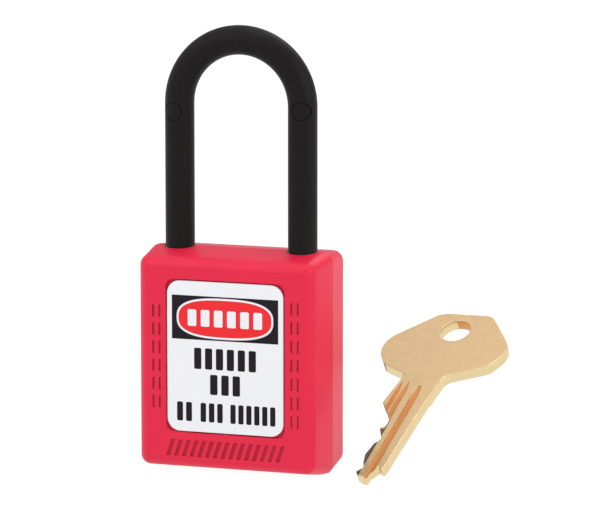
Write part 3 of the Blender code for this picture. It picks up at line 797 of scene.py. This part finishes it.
def make_rear_label():
    """A write-on label with ruled lines."""
    label_plate("label_rear", "rear_label")
    low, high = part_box("rear_label")
    near, far = high.y - PRINT_THICKNESS, high.y + PRINT_THICKNESS
    pieces = []
    for row in range(RULE_COUNT):
        centre = (0, low.z + RULE_FIRST + RULE_PITCH * row)
        outline = rounded_rectangle(centre, RULE_LENGTH, RULE_WIDTH, RULE_WIDTH / 2.5, steps=2)
        pieces.append(plate("rule", outline, near, far, INK_GREY))
    finish_piece(joined("label_rear_rules", pieces), "lock_body", "label_print")


# ---------------------------------------------------------------- shackle


def bar_radius_and_leg():
    """The radius of the shackle's bar, and how far each leg's middle is from x = 0."""
    low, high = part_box("shackle")
    radius = (high.y - low.y) / 2
    return radius, high.x - radius


def tube(name, points, radius, sides, material, radii=None):
    """A closed round bar through the points. radii scales it at each point."""
    curve = bpy.data.curves.new(name, "CURVE")
    curve.dimensions = "3D"
    curve.bevel_depth = radius
    curve.bevel_resolution = (sides - 4) // 2
    curve.use_fill_caps = True
    spline = curve.splines.new("POLY")
    spline.points.add(len(points) - 1)
    for index, place in enumerate(points):
        spline.points[index].co = (*place, 1.0)
        spline.points[index].radius = radii[index] if radii else 1.0
    drawn = bpy.data.objects.new(name + "_line", curve)
    bpy.context.scene.collection.objects.link(drawn)
    graph = bpy.context.evaluated_depsgraph_get()
    mesh = bpy.data.meshes.new_from_object(drawn.evaluated_get(graph))
    shape = bmesh.new()
    shape.from_mesh(mesh)
    bmesh.ops.remove_doubles(shape, verts=shape.verts, dist=TINY)
    bpy.data.objects.remove(drawn, do_unlink=True)
    return new_object(name, shape, material)


def pin_mark(name, centre, leg_x, radius, material):
    """A ring-shaped line round an ejector pin's mark, as deep everywhere as PIN_MARK_LINE."""
    inner_radius = PIN_MARK_RADIUS - PIN_MARK_LINE
    inner_span = (-PIN_MARK_REACH - MM, MM)
    ring = rod(name, "Y", centre, PIN_MARK_RADIUS, (-PIN_MARK_REACH, 0), material, BAR_SIDES)
    inner = rod("inner", "Y", centre, inner_radius, inner_span, material, BAR_SIDES)
    core_span = (centre[1] - 2 * PIN_MARK_RADIUS, centre[1] + 2 * PIN_MARK_RADIUS)
    core = rod("core", "Z", (leg_x, 0), radius - PIN_MARK_LINE, core_span, material, BAR_SIDES)
    carve(ring, [inner, core])
    return ring


def make_shackle():
    nylon = MATERIALS["black_nylon"]
    radius, leg_x = bar_radius_and_leg()
    low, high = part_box("shackle")
    arch_z = high.z - radius - leg_x
    points = [(-leg_x, 0, TOE_END), (-leg_x, 0, TOE_END + BAR_END_CHAMFER)]
    for step in range(ARCH_STEPS + 1):
        turn = math.pi * (1 - step / ARCH_STEPS)
        points.append((leg_x * math.cos(turn), 0, arch_z + leg_x * math.sin(turn)))
    points += [(leg_x, 0, low.z + BAR_END_CHAMFER), (leg_x, 0, low.z)]
    end_share = 1 - BAR_END_CHAMFER / radius
    radii = [end_share] + [1.0] * (len(points) - 2) + [end_share]
    bar = tube("shackle_bar", points, radius, BAR_SIDES, nylon, radii)
    flat = leg_x - radius + NOTCH_DEPTH
    half = NOTCH_HALF_WIDTH
    cutters = [
        block("toe_notch", (-flat, -half, TOE_NOTCH_Z[0]), (0, half, TOE_NOTCH_Z[1]), nylon),
        block("heel_groove", (0, -half, HEEL_GROOVE_Z[0]), (flat, half, HEEL_GROOVE_Z[1]), nylon),
    ]
    for name, side, height in (
        ("toe_pin_mark", -1, TOE_PIN_MARK_Z),
        ("heel_pin_mark", 1, HEEL_PIN_MARK_Z),
    ):
        centre = (side * (leg_x + PIN_MARK_OUTWARD), height)
        cutters.append(pin_mark(name, centre, side * leg_x, radius, nylon))
    carve(bar, cutters)
    shade_round(bar)
    finish_piece(bar, "shackle", "black_nylon", "shackle")


def make_shackle_spring():
    """The coil under the heel. The real one stretches as the shackle rises; this one stays as
    drawn.
    """
    low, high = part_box("shackle_spring")
    centre = (low + high) / 2
    radius = (high.x - low.x) / 2 - SPRING_WIRE_RADIUS
    bottom, top = low.z + SPRING_WIRE_RADIUS, high.z - SPRING_WIRE_RADIUS
    points = []
    steps = SPRING_TURNS * SPRING_STEPS
    for step in range(steps + 1):
        turn = 2 * math.pi * step / SPRING_STEPS
        points.append(
            (
                centre.x + radius * math.cos(turn),
                centre.y + radius * math.sin(turn),
                bottom + (top - bottom) * step / steps,
            )
        )
    steel = MATERIALS["spring_steel"]
    spring = tube("heel_spring", points, SPRING_WIRE_RADIUS, SPRING_SIDES, steel)
    shade_round(spring)
    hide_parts("shackle_spring")
    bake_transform(spring)


# ---------------------------------------------------------------- key


def key_outline():
    """The key's outline in millimetres, tip down: bow, neck, straight back, stepped tip, cuts."""
    bow_and_back = [
        ((-3.6, 50.05), 4.0),
        ((7.55, 50.45), 2.5),
        ((15.1, 41.3), 5.0),
        ((12.3, 35.5), 3.0),
        ((4.4, 31.65), 2.5),
        ((4.0, 26.2), 0),
        ((3.9, 25.2), 0),
        ((3.65, 24.3), 0),
        ((2.9, 3.3), 0.4),
        ((1.6, 4.5), 0.5),
        ((0.5, 2.5), 0.6),
        ((0.4, 0.9), 0.4),
        ((-0.6, 0.9), 0.5),
        ((-1.7, 1.5), 0.3),
    ]
    cuts = [
        ((-2.4, 2.4), 0.3),
        ((-1.35, 3.8), 0.4),
        ((-2.0, 5.2), 0.3),
        ((-2.6, 7.4), 0.3),
        ((-2.1, 10.8), 0.3),
        ((-0.95, 12.1), 0.4),
        ((-1.65, 13.2), 0.3),
        ((-2.7, 15.1), 0.2),
        ((-1.75, 16.4), 0.4),
        ((-1.75, 17.8), 0.4),
        ((-2.6, 18.9), 0.3),
    ]
    neck_and_bow = [
        ((-3.1, 19.9), 0.3),
        ((-5.2, 22.4), 0.6),
        ((-4.0, 31.2), 1.0),
        ((-9.6, 33.3), 3.0),
        ((-13.7, 39.4), 5.5),
    ]
    points = bow_and_back + cuts + neck_and_bow
    corners = [corner for corner, _ in points]
    radii = [radius for _, radius in points]
    return [point * MM for point in rounded_corners(corners, radii)]


def groove(name, middle, width, floor_width, depth, start, end):
    """A cutter for a milled groove along the key. It rises to the surface over its run-out.
    Its walls go on as far above the surface as its floor lies below it."""
    top_width = 2 * width - floor_width
    section = [
        (middle - floor_width / 2, -depth),
        (middle + floor_width / 2, -depth),
        (middle + top_width / 2, depth),
        (middle - top_width / 2, depth),
    ]
    stations = [
        (start, 0.0),
        (end - GROOVE_RUN_OUT, 0.0),
        (end - GROOVE_RUN_OUT / 2, depth / 4),
        (end, depth),
    ]
    sections = [[(x, along, z + rise) for x, z in section] for along, rise in stations]
    return loft(name, sections, MILLED_BRASS)


def colour_key_walls(made):
    """Copper on the hole's right side, painted dark reflection on the cuts and the bow's left,
    painted highlight elsewhere.
    """
    slots = {}
    for name, material in (("bright", BRASS_PAINTED_HIGHLIGHT), ("dark", BRASS_PAINTED_SHADE), ("hole", MILLED_BRASS)):
        slots[name] = len(made.data.materials)
        made.data.materials.append(material)
    for face in made.data.polygons:
        across, along, up = face.normal
        if abs(up) > 0.5:
            continue
        wall = "bright"
        if (face.center.xy - KEY_HOLE_PLACE).length < KEY_HOLE_RADIUS:
            if across < HOLE_COPPER_X:
                wall = "hole"
        elif face.center.x < CUTS_RIGHT_END and face.center.y < CUTS_UPPER_END:
            if along > CUT_TIPWARD_Y:
                wall = "dark"
        elif face.center.y > BOW_LOWER_END:
            if across < BOW_DARK_X and along < BOW_DARK_Y:
                wall = "dark"
        face.material_index = slots[wall]


def make_key():
    brass = MATERIALS["key_brass"]
    outline = key_outline()
    sections = [[(x, y, z) for x, y in outline] for z in (-KEY_THICKNESS, 0.0)]
    made = loft("cut_key", sections, brass)
    hole_span = (-2 * KEY_THICKNESS, KEY_THICKNESS)
    carve(made, [rod("hole", "Z", KEY_HOLE_PLACE, KEY_HOLE_RADIUS, hole_span, brass)])
    colour_key_walls(made)
    soften(made, KEY_EDGE, math.radians(60))
    cutters = [groove(name, *values) for name, values in KEY_GROOVES.items()]
    # The lowered land takes the dark brass, which is painted shade there.
    cutters.append(block("cut_land", *CUT_LAND, BRASS_PAINTED_SHADE))
    carve(made, cutters)
    shade_round(made)
    flatten_faces(made, 2)
    turned = Matrix.Rotation(KEY_TURN, 4, "Z") @ Matrix.Rotation(KEY_PITCH, 4, "X")
    made.matrix_world = Matrix.Translation(KEY_TIP_PLACE) @ turned
    finish_piece(made, "key", "key_brass", "key")


# ---------------------------------------------------------------- studio


def make_floor():
    """A wide pale floor that reflects little and glows."""
    shape = bmesh.new()
    bmesh.ops.create_grid(shape, x_segments=8, y_segments=8, size=FLOOR_REACH)
    shader = Shader("pale_floor")
    toned = shader.mixed(shader.noise(0.4, detail=2), *FLOOR_TONES)
    shader.link(toned, shader.surface.inputs["Base Color"])
    shader.surface.inputs["Roughness"].default_value = 0.9
    shader.surface.inputs["Specular IOR Level"].default_value = 0.0
    shader.surface.inputs["Emission Color"].default_value = (1, 1, 1, 1)
    shader.surface.inputs["Emission Strength"].default_value = FLOOR_GLOW
    new_object("floor", shape, shader.material)


def towards(place, target):
    """The rotation that turns a lamp or a camera at the place to the target."""
    return (Vector(target) - Vector(place)).to_track_quat("-Z", "Y").to_euler()


def direction(turn, rise):
    """The way from a target to a place at that azimuth and elevation, in radians. Azimuth 0 is
    the front."""
    return Vector(
        (
            math.sin(turn) * math.cos(rise),
            -math.cos(turn) * math.cos(rise),
            math.sin(rise),
        )
    )


def soft_light(name, azimuth, elevation, distance, size, power, colour):
    """A square area light that faces the middle of the lock. Angles are in degrees."""
    light = bpy.data.lights.new(name, "AREA")
    light.size = size
    light.energy = power
    light.color = colour
    made = bpy.data.objects.new(name, light)
    way = direction(math.radians(azimuth), math.radians(elevation))
    made.location = LIGHT_TARGET + way * distance
    made.rotation_euler = towards(made.location, LIGHT_TARGET)
    bpy.context.scene.collection.objects.link(made)


def faded(tree, source, span, ends):
    """A smooth step of the source over the span, from one end value to the other."""
    node = tree.nodes.new("ShaderNodeMapRange")
    node.interpolation_type = "SMOOTHSTEP"
    node.inputs["From Min"].default_value = span[0]
    node.inputs["From Max"].default_value = span[1]
    for name, end in zip(("To Min", "To Max"), ends):
        if isinstance(end, float):
            node.inputs[name].default_value = end
        else:
            tree.links.new(end, node.inputs[name])
    tree.links.new(source, node.inputs["Value"])
    return node.outputs["Result"]


def make_sky():
    """A white surround, darker above the horizon behind the lock, so that its edges stand out."""
    world = bpy.data.worlds.new("soft_white")
    world.use_nodes = True
    tree = world.node_tree
    split = tree.nodes.new("ShaderNodeSeparateXYZ")
    sky_direction = tree.nodes.new("ShaderNodeTexCoord").outputs["Generated"]
    tree.links.new(sky_direction, split.inputs["Vector"])
    to_the_back = faded(tree, split.outputs["Y"], SKY_BACK_SPAN, (SKY_FRONT, SKY_BACK))
    strength = faded(tree, split.outputs["Z"], SKY_HORIZON_SPAN, (SKY_HORIZON, to_the_back))
    tree.links.new(strength, tree.nodes["Background"].inputs["Strength"])
    tree.nodes["Background"].inputs["Color"].default_value = (1, 1, 1, 1)
    bpy.context.scene.world = world


def make_studio():
    make_floor()
    make_sky()
    for name, values in LIGHTS.items():
        soft_light(name, *values)
    bpy.context.scene.view_settings.view_transform = "Standard"


def make_camera():
    data = bpy.data.cameras.new("camera")
    data.lens = CAMERA_LENS
    data.clip_start = 10 * MM
    camera = bpy.data.objects.new("camera", data)
    way = direction(CAMERA_AZIMUTH, CAMERA_ELEVATION)
    camera.location = CAMERA_TARGET + way * CAMERA_DISTANCE
    camera.rotation_euler = towards(camera.location, CAMERA_TARGET)
    bpy.context.scene.collection.objects.link(camera)
    bpy.context.scene.camera = camera


def clear_startup():
    """Removes the startup scene's cube, lamp and camera."""
    for made in list(bpy.data.objects):
        if made.name in ("Cube", "Light", "Camera"):
            bpy.data.objects.remove(made, do_unlink=True)


clear_startup()
make_camera()
make_studio()
finish_cad_nodes()
make_body()
make_front_label()
make_rear_label()
make_shackle()
make_shackle_spring()
make_key()
